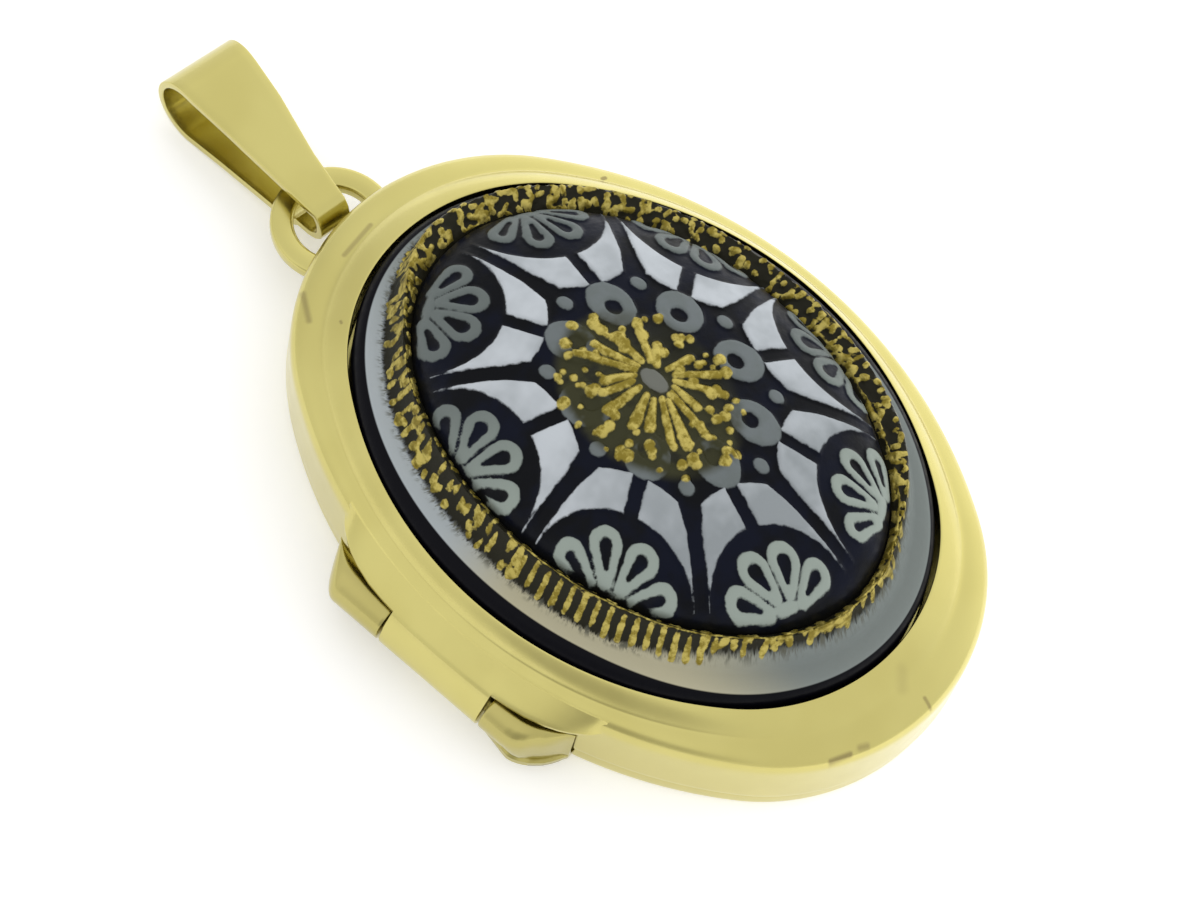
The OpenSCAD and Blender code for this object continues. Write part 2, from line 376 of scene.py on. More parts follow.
hinge = {
    "x": -10.75, "z": 2.2, "radius": 0.9,  # the pin's place in mm, and the knuckles' radius
    "midHalf": 2.35,  # half the length of the middle knuckle
    "root": 5.9,  # how far from the middle the outer knuckles end
    "clear": 0.16, "pinBore": 0.4, "outerBore": 0.37,
}
ring = {
    "y": 15.04, "z": 1.9, "outer": 2.45, "width": 0.9, "thick": 0.6,
    "corner": 0.16, "cornerParts": 4, "steps": 96,
    "foot": [(-1.4, 12.75), (1.4, 12.75), (1.4, 14.1), (-1.4, 14.1)], "footZ": (0.3, 1.9), "footBevel": 0.15,
}
rim = {
    "rows": [  # place across the rim, height in mm
        (0.035, 1.215), (0.008, 1.26), (0.0, 1.36), (0.0, 1.7), (0.0, 2.4), (0.0, 3.1), (0.0, 3.5),
        (0.01, 3.68), (0.04, 3.86), (0.11, 4.03), (0.21, 4.15), (0.33, 4.23), (0.45, 4.28), (0.52, 4.31),
        (0.56, 4.36), (0.61, 4.47), (0.7, 4.64), (0.82, 4.82), (0.93, 4.94), (0.975, 4.98), (1.0, 4.96),
    ],
    "lipRows": (4.9, 4.4, 3.6, 2.93, 2.9),
    "innerInset": 1.1,
    "floorTop": 2.9, "floorUnder": 2.5,
    "under": 1.2,  # height of the rim's underside
    "smooth": 2,
    "marksAbove": (2.6, 2.9),  # no mark runs through to the underside
    "marks": [  # start, end, radius, soft edge and strength of each small dark mark painted on the rim
        ((-1.78, 13.16), (-0.14, 13.32), 0.09, 0.06, 0.5),
        ((-3.95, 13.25), (-4.72, 12.25), 0.1, 0.09, 0.55),
        ((-4.22, 11.15), (-4.18, 11.23), 0.05, 0.04, 0.6),
        ((7.61, 8.39), (7.7, 8.36), 0.09, 0.04, 0.8),
        ((-4.6, -12.95), (-3.9, -13.3), 0.08, 0.07, 0.75),
        ((-3.5, -13.4), (-3.25, -13.55), 0.1, 0.1, 0.5),
        ((-0.75, -13.1), (-0.35, -12.7), 0.2, 0.2, 0.16),
        ((-0.39, -13.93), (-0.45, -14.3), 0.07, 0.05, 0.6),
    ],
}

inner = rim["innerInset"]
ceiling, under = rim["floorUnder"], rim["under"]
rows = [caseRing(inner + more, z) for more, z in (
    (3.0, ceiling), (0.25, ceiling), (0.05, ceiling - 0.05), (0, ceiling - 0.25),
    (0, under + 0.1), (0, under + 0.01), (-0.05, under))]
rows += [rimRing(part, z) for part, z in [(0.08, under)] + rim["rows"]]
rows += [rimRing(1.0, z) for z in rim["lipRows"]]
rows += [rimRing(part, rim["floorTop"]) for part in (1.06, 1.6)]
coverRim = wrapGrid("coverRim", rows)
closeUp(coverRim)
fillRims(coverRim)
applyModifier(coverRim, "SUBSURF", levels=rim["smooth"], render_levels=rim["smooth"])
axis = (hinge["x"], hinge["z"])
scoopEnd = hinge["root"] + hinge["clear"]
for low, high in ((hinge["midHalf"], scoopEnd), (-scoopEnd, -hinge["midHalf"])):
    cutWith(coverRim, rod("scoop", hinge["radius"] + hinge["clear"], low, high, place=axis))
notchTop = ring["z"] + ring["thick"] / 2 + hinge["clear"]
notchRadius = ring["outer"] + hinge["clear"]
cutWith(coverRim, rod("notch", notchRadius, -1, notchTop, turned=False, place=(0, ring["y"])))
rimGold = makeGold("rimGold", goldLook, marks=rim["marks"], marksAbove=rim["marksAbove"])
finishPiece(coverRim, "lid", rimGold, angle=35, nodes=["front_cover"])
print("front cover rim", len(coverRim.data.polygons))


# glass cabochon: the pressed relief is worked into a fine dome

glass = {
    "rimRows": [  # half width, half length and height of each row from the foot to the edge, mm
        (9.12, 11.88, 3.0), (9.12, 11.88, 3.04), (9.12, 11.88, 4.8), (9.08, 11.85, 4.98),
        (9.0, 11.79, 5.12), (8.86, 11.68, 5.26), (8.75, 11.61, 5.32), (8.63, 11.53, 5.36),
    ],
    "edge": (8.63, 11.53), "edgeZ": 5.36,
    "margin": (7.88, 10.84), "marginZ": 5.46, "marginRows": 4,
    "rope": (7.3, 10.28), "ropeZ": 6.72, "slopeRows": 10,
    "crestRows": 12, "crestRise": 0.16,
    "dome": (6.95, 9.9), "domeZ": 6.5, "apexZ": 9.8,
    "power": 0.55,  # the dome's fullness: less makes a fuller shoulder
    "domeRows": 128, "domeGather": 0.94, "domeStart": 0.995, "domeFade": (-0.012, 0.004),
    "steps": 560,
    "cellRise": 0.16,
    "goldRise": 0.14, "goldSide": (-0.1, 0.12),
    "relief": [  # part of the ornament, its share of the rise, and where its side starts and ends
        ("cell", 1.0, -0.1, 0.12), ("fan", 0.75, -0.08, 0.1),
        ("grey", 0.8, -0.1, 0.12), ("eye", 0.5, -0.1, 0.1),
    ],
}
flower = {
    "unit": 10.5,  # the ornament is drawn on a circle of this radius, then stretched to the oval
    "petals": 8,
    "fanCentre": 8.5, "fanReach": 2.95, "archCentre": 7.85, "archRadius": 3.75, "cellEnd": 7.95,
    "net": 0.26, "netMore": 0.14, "netGrows": (5.8, 4.4),  # the dark net is wider near the middle
    "bar": 0.24,
    "loops": ((-58, 0.52), (-20, 0.59), (20, 0.59), (58, 0.52)),  # turn in degrees and head of each loop
    "loopTail": (0.8, 0.24),  # where a loop starts and its half width there
    "loopReach": 2.45,
    "loopHole": (1.15, 0.07, 0.36, 1.2),  # start and half width, then how much slimmer and shorter it is
    "lean": (4, -3, 2, -5, 3, -2, 5, -4),  # how each fan leans, degrees
    "growth": (0.02, -0.03, 0.03, 0.0, -0.02, 0.03, -0.03, 0.02),  # how much wider its loops are
    "fanFoot": (0.2, 0.3, 0.42),  # half height, flatness and place of the bar under the loops
    "collar": (3.22, 0.86, 0.9),  # place, radius and flatness of the eyelets
    "hole": (3.05, 0.3), "bead": (4.05, 0.3),
    "centre": (-0.3, 0.22), "eyeHalf": (0.35, 0.62), "eyeDepth": 0.45, "eyeClear": 0.04,
    "heart": (-0.7, 0.05), "heartHalf": (2.8, 3.75), "heartEdge": 1.02, "heartDepth": 2.7,
    "stamens": 17, "stamenSway": 0.25, "stamenFrom": (0.2, 0.27), "stamenTo": (0.45, 0.9),
    "stamenWidth": (0.12, 0.16), "stamenHead": (0.17, 0.25),
    "dots": 92, "dotTurn": 2.39996, "dotSway": 0.3, "dotArea": (0.24, 0.8), "dotSize": (0.1, 0.26),
    "seed": 11,
}
farOutside = -9.0  # depth of a place that no part of the ornament is near


def softStep(value, low, high):
    s = np.clip((value - low) / (high - low), 0, 1)
    return s * s * (3 - 2 * s)


def teardrop(px, py, r1, r2, h):
    # distance to a drop: a circle r1 at the origin joined to a circle r2 at height h
    px = np.abs(px)
    b = (r1 - r2) / h
    a = np.sqrt(np.maximum(0.0, 1 - b * b))
    k = -px * b + py * a
    low = np.hypot(px, py) - r1
    high = np.hypot(px, py - h) - r2
    mid = px * a + py * b - r1
    return np.where(k < 0, low, np.where(k > a * h, high, mid))


def bar(x, y, start, end, width, head):
    # depth inside a bar that thickens from width to head
    dx, dy = end[0] - start[0], end[1] - start[1]
    t = np.clip(((x - start[0]) * dx + (y - start[1]) * dy) / (dx * dx + dy * dy), 0, 1)
    return width + (head - width) * t - np.hypot(x - start[0] - t * dx, y - start[1] - t * dy)


draw = np.random.default_rng(flower["seed"]).uniform
stamens, pollen = [], []  # places as shares of the heart's half axes, half widths in mm
for k in range(flower["stamens"]):
    sway = draw(-flower["stamenSway"], flower["stamenSway"])
    turn = (k + sway) * 2 * math.pi / flower["stamens"]
    near, far = draw(*flower["stamenFrom"]), draw(*flower["stamenTo"])
    width, head = draw(*flower["stamenWidth"]), draw(*flower["stamenHead"])
    stamens.append((turn, near, far, width, head))
for k in range(flower["dots"]):
    turn = k * flower["dotTurn"] + draw(-flower["dotSway"], flower["dotSway"])
    far = math.sqrt(flower["dotArea"][0] + flower["dotArea"][1] * (k + 0.5) / flower["dots"])
    pollen.append((far * math.cos(turn), far * math.sin(turn), draw(*flower["dotSize"])))


def fanLoops(across, fanBack, number):
    # the four loops of each fan and the bar under them
    lean, growth = np.radians(flower["lean"])[number], np.array(flower["growth"])[number]
    tailStart, tailWidth = flower["loopTail"]
    holeStart, holeWidth, slimmer, shorter = flower["loopHole"]
    footHeight, footFlat, footPlace = flower["fanFoot"]
    loops, holes = np.full(across.shape, farOutside), np.full(across.shape, farOutside)
    for turn, plainHead in flower["loops"]:
        t = math.radians(turn) + lean
        fx = across * np.cos(t) - fanBack * np.sin(t)
        fy = across * np.sin(t) + fanBack * np.cos(t)
        head = plainHead + growth
        loop = teardrop(fx, fy - tailStart, tailWidth, head, flower["loopReach"] - tailStart - head)
        hole = teardrop(fx, fy - holeStart, holeWidth, head - slimmer, flower["loopReach"] - shorter - head)
        loops, holes = np.maximum(loops, -loop), np.maximum(holes, -hole)
    loops = np.maximum(loops, footHeight - np.hypot(across * footFlat, fanBack - footPlace))
    return np.minimum(loops, -holes)


def petalParts(x, y):
    lipA, lipB = outline["lipHalf"][:2]
    flatX, flatY = x * flower["unit"] / lipA, y * flower["unit"] / lipB
    radius, angle = np.hypot(flatX, flatY), np.arctan2(flatY, flatX)
    sector = 2 * math.pi / flower["petals"]
    petal = np.round((angle - sector / 2) / sector)
    fromFan = (angle - sector / 2) - sector * petal
    fromTip = angle - sector * np.round(angle / sector)
    along, across = radius * np.cos(fromFan), radius * np.sin(fromFan)
    tipAlong, tipAcross = radius * np.cos(fromTip), radius * np.sin(fromTip)
    fanBack = flower["fanCentre"] - along
    arch = flower["archRadius"] - np.hypot(along - flower["archCentre"], across)
    fanOut = np.hypot(fanBack, across)
    netOuter, netInner = flower["netGrows"]
    net = flower["net"] + flower["netMore"] * softStep(-radius, -netOuter, -netInner)
    cell = np.minimum.reduce([arch, fanOut - flower["fanReach"], np.abs(tipAcross) - net,
                              np.abs(across) - flower["bar"], flower["cellEnd"] - radius])
    holeOut, holeRadius = flower["hole"]
    collarOut, collarRadius, collarFlat = flower["collar"]
    beadOut, beadRadius = flower["bead"]
    holes = holeRadius - np.hypot(along - holeOut, across)
    collars = collarRadius - np.hypot((along - collarOut) * collarFlat, across)
    beads = beadRadius - np.hypot(tipAlong - beadOut, tipAcross)
    fan = fanLoops(across, fanBack, petal.astype(int) % flower["petals"])
    return {"cell": cell, "fan": fan, "grey": np.maximum(np.minimum(collars, -holes), beads)}


def heartParts(x, y):
    (heartX, heartY), (halfX, halfY) = flower["heart"], flower["heartHalf"]
    (eyeX, eyeY), (eyeA, eyeB) = flower["centre"], flower["eyeHalf"]
    hx, hy = x - heartX, y - heartY
    gilt = np.full(x.shape, farOutside)
    for turn, near, far, width, head in stamens:
        c, s = halfX * math.cos(turn), halfY * math.sin(turn)
        start, tip = (eyeX + near * c, eyeY + near * s), (heartX + far * c, heartY + far * s)
        gilt = np.maximum(gilt, bar(x, y, start, tip, width, head))
    for px, py, size in pollen:
        gilt = np.maximum(gilt, size - np.hypot(hx - halfX * px, hy - halfY * py))
    eye = flower["eyeDepth"] * (1 - np.hypot((x - eyeX) / eyeA, (y - eyeY) / eyeB))
    ground = flower["heartDepth"] * (flower["heartEdge"] - np.hypot(hx / halfX, hy / halfY))
    return {"gilt": np.minimum(gilt, -eye - flower["eyeClear"]), "eye": eye, "ground": ground}


def ornament(x, y):
    # the ornament's parts as depths in mm, positive inside
    return {**petalParts(x, y), **heartParts(x, y)}


def mixPair(first, second, t):
    return tuple(p * (1 - t) + q * t for p, q in zip(first, second))


steps = glass["steps"]
angles = np.arange(steps) * 2 * math.pi / steps


def roughWave(counts, seed):
    # a closed irregular wave round the ring
    r = np.random.default_rng(seed)
    total = np.zeros(steps)
    for n in counts:
        total += np.sin(n * angles + r.uniform(0, 6.28)) * r.uniform(0.4, 1)
    return total / len(counts)


def facing(direction, low, high):
    # grows from 0 to 1 on the side of the ring that faces a direction in plan
    return softStep(np.cos(angles) * direction[0] + np.sin(angles) * direction[1], low, high)


# the gilded border: short strokes and a row of ticks at the hinge corner, and a thin line along the crest in
# the gilt colour that is a painted highlight

border = {
    "far": ((0.906, 0.423), -0.1, 0.5),  # where the border is wide and high
    "below": ((0.2, -0.98), 0.1, 0.72),  # where it is narrow
    "corner": ((-0.93, -0.37), 0.9, 0.965),  # where it is a row of ticks
    "reach": (0.56, 0.3, 0.82),  # plain, below and far
    "farRope": (7.98, 10.96), "farMargin": (8.3, 11.22), "farRise": 0.1,
    "span": glass["edge"][0] - glass["dome"][0],
    "marginEnd": (0.97, 0.13),  # where the margin turns into the wall, and how much further below
    "radius": 8.6,  # for the count of strokes
    "pitch": 0.3, "sway": 0.2, "rowPitch": 0.27, "rowSway": 0.3,
    "kept": 0.66,  # the share of strokes that is made
    "strokeLean": 1.4, "strokeLength": (0.02, 0.13), "strokeWidth": (0.07, 0.13), "strokeEnd": (0.08, 0.16),
    "tickPitch": 0.44, "tickFrom": 0.25, "tickTo": 0.5, "tickWidth": 0.11, "tickEnd": (0.1, 0.15),
    "fleck": ((0.05, -0.1), 0.06, 0.05, (0.04, 0.11)),  # run, band value, width and end beside each tick
    # the thin line along the crest is a painted highlight in the gilt colour
    "lineSteps": 360, "line": 0.15, "lineWaves": ((0.012, 17), (0.01, 41)),
    "lineRun": 0.012, "lineWidth": (0.045, 0.055),
    "rise": 0.13, "side": (-0.05, 0.09), "near": 0.9,
    "roughRise": 0.05, "roughWaves": (57, 83, 101),
}
farShare, belowShare, cornerShare = (facing(*border[key]) for key in ("far", "below", "corner"))
plainReach, belowReach, farReach = border["reach"]
borderReach = plainReach + (belowReach - plainReach) * belowShare + (farReach - plainReach) * farShare


def ringPlace(t, band):
    # a place beside the dome, from the angle and the band value
    out = band * border["span"]
    return (glass["dome"][0] + out) * math.cos(t), (glass["dome"][1] + out) * math.sin(t)


def shareAt(values, t):
    return float(np.interp(t % (2 * math.pi), angles, values))


strokes = []  # start, end, half widths
roundLength = 2 * math.pi * border["radius"]
columns = int(roundLength / border["pitch"])
for k in range(columns):
    t = (k + draw(-border["sway"], border["sway"])) * 2 * math.pi / columns
    if shareAt(cornerShare, t) > 0.5:
        continue
    reach = shareAt(borderReach, t)
    count = max(2, round(reach * border["span"] / border["rowPitch"]))
    for row in range(count):
        place = reach * (row + 0.5 + draw(-border["rowSway"], border["rowSway"])) / count
        lean = draw(-border["strokeLean"], border["strokeLean"])
        length = draw(*border["strokeLength"])
        width, end = draw(*border["strokeWidth"]), draw(*border["strokeEnd"])
        if draw(0, 1) > border["kept"]:
            continue
        x, y = ringPlace(t, place)
        dx, dy = length * math.cos(t + lean), length * math.sin(t + lean)
        strokes.append(((x - dx, y - dy), (x + dx, y + dy), width, end))

(fleckX, fleckY), fleckBand, fleckWidth, fleckEnd = border["fleck"]
for k in range(int(roundLength / border["tickPitch"])):
    t = k * border["tickPitch"] / border["radius"]
    near = border["tickFrom"] + draw(-0.02, 0.03)
    far = border["tickTo"] + draw(-0.05, 0.03)
    if shareAt(cornerShare, t) > 0.5:
        end = draw(*border["tickEnd"])
        strokes.append((ringPlace(t, near), ringPlace(t, far), border["tickWidth"], end))
        x, y = ringPlace(t + draw(-0.02, 0.02), fleckBand)
        strokes.append(((x, y), (x + fleckX, y + fleckY), fleckWidth, draw(*fleckEnd)))

# a thin gilt line along the crest at the hinge corner and where the border is narrow: a painted highlight
for k in range(border["lineSteps"]):
    t = k * 2 * math.pi / border["lineSteps"]
    if shareAt(cornerShare, t) > 0.05 or shareAt(belowShare, t) > 0.4:
        place = border["line"] + sum(size * math.sin(n * t) for size, n in border["lineWaves"])
        start, end = ringPlace(t, place), ringPlace(t + border["lineRun"], place)
        strokes.append((start, end, *border["lineWidth"]))


def giltAndHighlightBorder(x, y):
    # depth inside the nearest stroke, worked out only close to it
    depth = np.full(x.shape, -1.0)
    for start, end, width, head in strokes:
        near = np.hypot(x - start[0], y - start[1]) < border["near"]
        depth[near] = np.maximum(depth[near], bar(x[near], y[near], start, end, width, head))
    return depth


def spreadRing(half, farHalf, z):
    # an oval ring that lies further out on the far side
    a = half[0] + (farHalf[0] - half[0]) * farShare
    b = half[1] + (farHalf[1] - half[1]) * farShare
    return np.column_stack([a * np.cos(angles), b * np.sin(angles), np.full(steps, z)]), a


# rows of the glass, from its foot over the margin, slope and crest to the middle of the dome
ringRows = [((a, b), (a, b), z) for a, b, z in glass["rimRows"]]  # half axes, those on the far side, height


def addRows(count, near, far, height):
    # near and far each hold the first and last half axes, and height gives z along the rows
    for k in range(1, count + 1):
        ringRows.append((mixPair(*near, k / count), mixPair(*far, k / count), height(k / count)))


def slopeHeight(t):
    return glass["marginZ"] + (glass["ropeZ"] - glass["marginZ"]) * (0.3 * t + 0.7 * t ** 1.5)


def crestHeight(t):
    hump = glass["crestRise"] * math.sin(math.pi * (0.35 + 0.65 * t))
    return glass["ropeZ"] + (glass["domeZ"] - glass["ropeZ"]) * t + hump


edge, margin, crest, dome = (glass[key] for key in ("edge", "margin", "rope", "dome"))
addRows(glass["marginRows"], (edge, margin), (edge, border["farMargin"]),
        lambda t: glass["edgeZ"] + t * (glass["marginZ"] - glass["edgeZ"]))
slopeStart = len(ringRows)
addRows(glass["slopeRows"], (margin, crest), (border["farMargin"], border["farRope"]), slopeHeight)
addRows(glass["crestRows"], (crest, dome), (border["farRope"], dome), crestHeight)

rows, bands = [], []
for number, (half, farHalf, z) in enumerate(ringRows):
    ringPoints, a = spreadRing(half, farHalf, z)
    if slopeStart <= number < len(ringRows) - 1:
        share = (number - slopeStart) / (len(ringRows) - slopeStart)
        swell = border["farRise"] * farShare * math.sin(math.pi * share)
        ringPoints[:, 2] += border["roughRise"] * roughWave(border["roughWaves"], number) + swell
        depth = giltAndHighlightBorder(ringPoints[:, 0], ringPoints[:, 1])
        ringPoints[:, 2] += border["rise"] * softStep(depth, *border["side"])
    rows.append(ringPoints)
    bands.append((a - glass["dome"][0]) / border["span"])
for k in range(1, glass["domeRows"] + 1):
    f = (1 - k / glass["domeRows"]) ** glass["domeGather"] * glass["domeStart"]
    x = glass["dome"][0] * f * np.cos(angles)
    y = glass["dome"][1] * f * np.sin(angles)
    parts = ornament(x, y)
    z = np.full(steps, glass["domeZ"] + (glass["apexZ"] - glass["domeZ"]) * (1 - f * f) ** glass["power"])
    raised = sum(share * softStep(parts[name], low, high) for name, share, low, high in glass["relief"])
    z = z + glass["cellRise"] * raised + glass["goldRise"] * softStep(parts["gilt"], *glass["goldSide"])
    rows.append(np.column_stack([x, y, z]))
    bands.append(np.full(steps, f - 1))
cabochon = wrapGrid("cabochon", np.array(rows) * mm)

# the ornament's depths go with the mesh, so that the colours follow the relief
places = np.zeros(len(cabochon.data.vertices) * 3)
cabochon.data.vertices.foreach_get("co", places)
places = places.reshape(-1, 3) / mm
bandValues = withSeam(np.array(bands)).reshape(-1)
inside = softStep(-bandValues, *glass["domeFade"])
fields = {}
for key, depth in ornament(places[:, 0], places[:, 1]).items():
    fields[key] = np.clip(depth, -1, 1) * inside - (1 - inside)
outside = bandValues > 0.001
fields["rope"] = np.full(len(bandValues), -1.0)
fields["rope"][outside] = giltAndHighlightBorder(places[outside, 0], places[outside, 1])
fields["band"] = bandValues
marginEnd = border["marginEnd"][0] + border["marginEnd"][1] * belowShare
for key, ringRow in (("reach", borderReach), ("marginEnd", marginEnd)):
    fields[key] = np.tile(np.append(ringRow, ringRow[0]), len(rows))
for key, values in fields.items():
    attribute = cabochon.data.attributes.new(key, "FLOAT", "POINT")
    attribute.data.foreach_set("value", values.astype(np.float32))
closeUp(cabochon, 1e-7)
fillRims(cabochon)

glassLook = {
    "black": (0.003, 0.0035, 0.005),
    "navy": (0.0035, 0.005, 0.013),
    "wall": (0.002, 0.002, 0.004),
    "pearl": (0.52, 0.555, 0.59),
    "pearlShade": (0.27, 0.295, 0.31),
    "fanPale": (0.29, 0.335, 0.30),
    "fanDim": (0.13, 0.15, 0.145),
    "grey": (0.15, 0.17, 0.175),
    "olive": (0.042, 0.042, 0.02),
    "eye": (0.15, 0.155, 0.135),
    "gilt": (0.23, 0.178, 0.028),
    "giltPale": (0.52, 0.43, 0.115),
    "giltGround": (0.018, 0.017, 0.01),
    "margin": (0.20, 0.225, 0.215),
    "marginPale": (0.4, 0.44, 0.46),
    "marginWarm": (0.46, 0.43, 0.3),
    "marginDark": (0.1, 0.1, 0.075),
    "fineScale": 2600.0, "cloudScale": 420.0, "blobScale": 1250.0,
    "ragged": 0.14,  # how far the fine noise moves the edges of the colours, mm
    "bristleScale": 62.0, "bristle": 0.35,  # streaks across the border, and how far they reach
    "shadeY": (0.001, -0.007),  # m, where the panels grow darker with painted shade
    "fanLight": (0.003, -0.006),  # m, from the dim fans to the pale ones
    "heartX": (0.0016, -0.0004),
    "warmX": (-0.003, -0.007), "warmY": (0.003, -0.001),
    "paleSide": (0.003, 0.0085),
    "wallFrom": (0.85, 0.95),  # band values
    "polish": (0.3, 0.45), "specular": 0.08, "giltMetal": 0.6,
    "bump": (0.5, 0.00004),
}


def makePressedGlass(look):
    material, tree, shader = newMaterial("pressedGlass")
    makers = (mathNode, product, addUp, takeOff, rampNode, mixColour)
    sums, times, plus, less, ramp, mix = (partial(maker, tree) for maker in makers)
    placeX, placeY = objectPlace(tree)[:2]
    fine = noiseNode(tree, look["fineScale"], 3.0, 0.6)
    cloud = noiseNode(tree, look["cloudScale"], 3.0, 0.6)
    blob = noiseNode(tree, look["blobScale"], 2.0, 0.55)
    ragged = times(less(fine, 0.5), look["ragged"])

    def field(name):
        node = tree.nodes.new("ShaderNodeAttribute")
        node.attribute_name = name
        return node.outputs["Fac"]

    def mask(name, low=-0.02, high=0.05):
        return ramp(plus(field(name), ragged), low, high)

    # the dome: dark net, panels, fans, eyelets and the ground of the heart
    netTone = mix(ramp(cloud, 0.4, 0.62), look["black"], look["navy"])
    # the panels grow darker towards the bottom as painted shade, and the cloud gives them a random tone as
    # well
    lower = ramp(placeY, *look["shadeY"], 0.0, 0.55)
    shade = sums("MINIMUM", plus(ramp(cloud, 0.3, 0.7, 0.0, 0.6), lower), 1.0)
    tone = mix(mask("cell"), netTone, mix(shade, look["pearl"], look["pearlShade"]))
    lit = plus(times(placeX, 0.8), placeY)
    fanTone = mix(ramp(lit, *look["fanLight"]), look["fanDim"], look["fanPale"])
    tone = mix(mask("fan"), tone, fanTone)
    greyTone = mix(ramp(blob, 0.35, 0.65, 0.0, 0.6), look["grey"], look["fanDim"])
    tone = mix(mask("grey"), tone, greyTone)
    heartGround = times(ramp(field("ground"), -0.1, 0.3), ramp(blob, 0.3, 0.5, 0.5, 1.0),
                        ramp(placeX, *look["heartX"], 0.3, 1.0))
    tone = mix(heartGround, tone, look["olive"])
    tone = mix(mask("eye"), tone, look["eye"])

    # outside the dome: the band runs from 0 at its edge to 1 at the edge of the glass
    band, borderEnd = field("band"), field("reach")
    a = sums("DIVIDE", placeX, glass["dome"][0] * mm)
    b = sums("DIVIDE", placeY, glass["dome"][1] * mm)
    oval = sums("SQRT", plus(times(a, a), times(b, b)))
    spoke = tree.nodes.new("ShaderNodeCombineXYZ")
    tree.links.new(sums("DIVIDE", a, oval), spoke.inputs["X"])
    tree.links.new(sums("DIVIDE", b, oval), spoke.inputs["Y"])
    tree.links.new(times(band, 0.06), spoke.inputs["Z"])
    bristle = less(noiseNode(tree, look["bristleScale"], 3.0, 0.65, spoke.outputs["Vector"]), 0.5)
    past = less(plus(band, times(bristle, look["bristle"])), borderEnd)
    onRing = ramp(band, -0.02, 0.02)
    tone = mix(ramp(band, *look["wallFrom"]), tone, look["wall"])
    inBorder = times(onRing, ramp(past, 0.03, -0.05))
    tone = mix(inBorder, tone, look["giltGround"])

    # the margin: grey, paler at the hinge side, warm at its corner and streaked next to the border
    aside = less(times(placeY, 0.35), placeX)
    pale = ramp(aside, *look["paleSide"])
    marginTone = mix(pale, look["margin"], look["marginPale"])
    warm = times(ramp(placeX, *look["warmX"]), ramp(placeY, *look["warmY"]))
    marginTone = mix(warm, marginTone, look["marginWarm"])
    nearBorder = ramp(less(band, borderEnd), 0.22, 0.0)
    streaks = times(nearBorder, ramp(bristle, -0.05, 0.12))
    marginTone = mix(streaks, marginTone, look["marginDark"])
    beforeWall = ramp(less(band, field("marginEnd")), 0.02, -0.02)
    onMargin = times(ramp(past, -0.04, 0.06), beforeWall)
    tone = mix(onMargin, tone, marginTone)

    # gilding on the stamens, dots and strokes; the thin line along the crest takes the same gilt colour as a
    # painted highlight
    giltAndHighlightStrokes = times(onRing, mask("rope", -0.01, 0.03))
    giltAndHighlightMask = sums("MAXIMUM", mask("gilt"), giltAndHighlightStrokes)
    giltAndHighlightTone = mix(ramp(fine, 0.4, 0.62), look["gilt"], look["giltPale"])
    tone = mix(giltAndHighlightMask, tone, giltAndHighlightTone)
    tree.links.new(tone, shader.inputs["Base Color"])
    tree.links.new(times(giltAndHighlightMask, look["giltMetal"]), shader.inputs["Metallic"])
    tree.links.new(ramp(fine, 0.3, 0.7, *look["polish"]), shader.inputs["Roughness"])
    shader.inputs["Specular IOR Level"].default_value = look["specular"]
    bumpNode(tree, shader, plus(fine, blob), *look["bump"])
    return material


pressedGlass = makePressedGlass(glassLook)
finishPiece(cabochon, "lid", pressedGlass, angle=60, nodes=["glass_cabochon"])
print("glass", len(cabochon.data.polygons))


# hinge on the front cover: one shelf along the rim, with the middle knuckle under it

shelf = {
    "rows": [  # place along the hinge and reach of the shelf's edge, mm
        (0.0, -11.06), (1.2, -11.05), (2.4, -11.0), (3.0, -10.93), (3.73, -10.8), (4.5, -10.56),
        (5.0, -10.34), (5.4, -10.1), (5.7, -9.88), (5.95, -9.66), (6.1, -9.48), (6.2, -9.36),
    ],
    "cuts": (6.2, 6.1, 5.95, 5.7, 5.4, 5.0, 4.5, 4.1, 3.73, 3.4, 3.0, 2.7),  # sections beside the knuckle
    "middle": (2.1, 15),  # half the run of the sections along the knuckle, and their number
    "edgeZ": (3.6, 3.42),  # top and underside of the thin edge
    "rootTop": (0.24, 4.165),  # inward from the case side, and height
    "shoulder": [(0.03, -0.005), (-0.05, -0.06), (-0.13, -0.17), (-0.3, -0.46), (-0.47, -0.8)],
    "barrel": (162, 198),  # start and sweep round the pin, degrees
    "points": 30,  # of a section after its slope
}


def shelfEdge(y):
    return float(np.interp(abs(y), [r[0] for r in shelf["rows"]], [r[1] for r in shelf["rows"]]))


def shelfSection(y, barrel, shrink=0.0):
    # the root under the rim and the slope, then the knuckle's barrel or the thin edge
    edge = shelfEdge(y)
    top, under = shelf["edgeZ"]
    rootX = -outline["caseHalf"][0] + shelf["rootTop"][0] + caseSide(y)
    rootZ = shelf["rootTop"][1]
    points = [(rootX + 0.7, rootZ - 0.6), (rootX + 0.3, rootZ - 0.05), (rootX, rootZ)]
    for t in (0.25, 0.5, 0.75, 0.9):
        points.append((rootX + (edge + 0.06 - rootX) * t, rootZ + (top + 0.02 - rootZ) * t))
    if barrel:
        # a rounded shoulder, the steep face and the barrel under it
        points += [(edge + out, top + up) for out, up in shelf["shoulder"]]
        parts = shelf["points"] - len(shelf["shoulder"]) - 1
        points += arcPoints((hinge["x"], hinge["z"]), hinge["radius"] - shrink, *shelf["barrel"], parts)
        return points
    # the thin edge, then straight back in under the rim
    points += [(edge + 0.03, top - 0.005), (edge, top - 0.04), (edge, under + 0.03), (edge + 0.03, under)]
    run, parts = rootX + 0.7 - edge - 0.03, shelf["points"] - 4
    for k in range(1, parts + 1):
        points.append((edge + 0.03 + run * k / parts, under - 0.03 * k / shelf["points"]))
    return points


